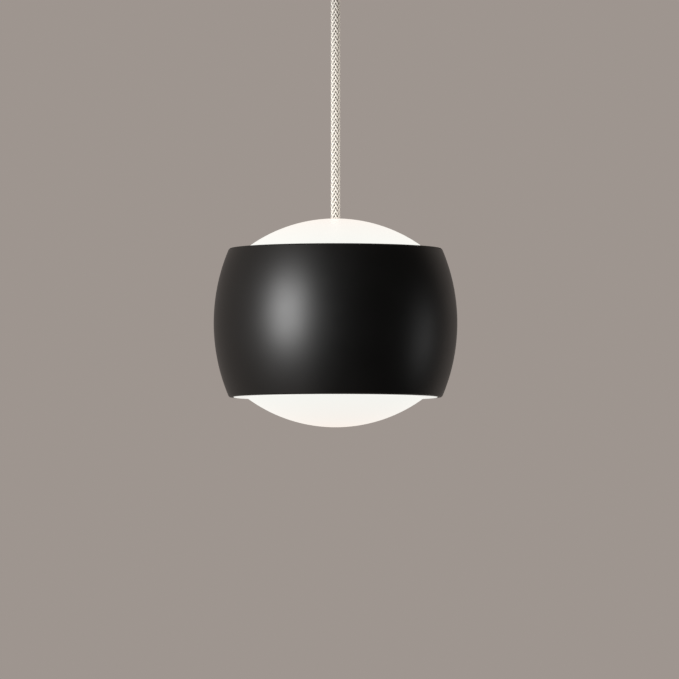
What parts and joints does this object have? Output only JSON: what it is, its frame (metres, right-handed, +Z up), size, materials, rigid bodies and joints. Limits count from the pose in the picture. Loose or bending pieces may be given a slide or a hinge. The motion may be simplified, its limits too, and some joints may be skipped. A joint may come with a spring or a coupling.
{
  "type": "mini pendant light",
  "caption": "Small black barrel pendant lamp with a glowing opal dome above and below, hung on a white braided cord from a round ceiling canopy that holds its driver.",
  "frame": {"origin": "in the ceiling plane, midway between the two screw slots of the mounting plate, on the axis of the canopy, cord and lamp head", "axes": "+Z up, along the cord towards the ceiling; +X along the line of the two screw slots; -Y towards the picture's viewer"},
  "size_m": [0.11, 0.11, 0.2427],
  "materials": {
    "black_coat": "matte black powder coat on turned aluminium",
    "black_paint": "matte black powder coat on steel",
    "opal_lens": "satin opal acrylic, lit from inside",
    "white_braid": "white textile braid",
    "zinc_steel": "zinc plated",
    "black_steel": "blackened",
    "brass": "turned",
    "white_plastic": "moulded",
    "ivory_plastic": "moulded",
    "black_plastic": "moulded",
    "black_rubber": "moulded",
    "clear_silicone": "translucent",
    "white_board": "white solder mask",
    "green_board": "green solder mask",
    "component_black": "moulded epoxy",
    "led_phosphor": "yellow phosphor",
    "red_insulation": "extruded",
    "brown_insulation": "extruded"
  },
  "bodies": {
    "ceiling_mount": {"mounting_plate": "zinc_steel", "mains_grommet": "black_rubber", "driver_case": "white_plastic", "driver_lid": "white_plastic", "driver_board": "green_board", "driver_parts": "component_black", "driver_socket": "ivory_plastic", "plate_screws": "zinc_steel", "terminal_block": "ivory_plastic", "terminal_screws": "zinc_steel", "earth_screw": "brass", "mains_leads": "brown_insulation"},
    "canopy": {"canopy_cover": "black_paint", "canopy_nuts": "zinc_steel", "canopy_screws": "black_steel", "cord_grip": "black_paint", "grip_washer": "zinc_steel", "grip_lock_nut": "brass", "grip_screw": "black_steel", "cord_top_end": "white_braid", "output_leads": "red_insulation", "driver_plug": "ivory_plastic"},
    "cord": {"suspension_cord": "white_braid"},
    "head": {"housing": "black_coat", "cord_tube": "white_plastic", "cord_anchor": "brass", "anchor_screw": "black_steel", "cord_bottom_end": "white_braid", "board_posts": "brass", "control_board": "green_board", "control_parts": "component_black", "control_board_screws": "zinc_steel", "head_leads": "red_insulation", "upper_feed_leads": "red_insulation", "link_header": "black_plastic", "upper_led_board": "white_board", "upper_leds": "led_phosphor", "upper_board_screws": "zinc_steel", "upper_reflector": "white_plastic", "upper_lens_seal": "clear_silicone", "upper_lens": "opal_lens", "lower_led_board": "white_board", "lower_leds": "led_phosphor", "lower_board_screws": "zinc_steel", "lower_reflector": "white_plastic", "gesture_sensor": "component_black", "sensor_shroud": "black_plastic", "lower_lens_seal": "clear_silicone", "lower_lens": "opal_lens"}
  },
  "joints": [
    {"name": "canopy_drop", "type": "slide", "parent": "ceiling_mount", "child": "canopy", "axis": [0, 0, -1], "range_m": [0, 0.05]},
    {"name": "cord_swing", "type": "hinge", "parent": "canopy", "child": "cord", "pos_m": [0, 0, -0.0405], "axis": [0, 1, 0], "range_deg": [-25, 25]},
    {"name": "head_turn", "type": "hinge", "parent": "cord", "child": "head", "pos_m": [0, 0, -0.1485], "axis": [0, 0, 1], "range_deg": [-180, 180]}
  ]
}
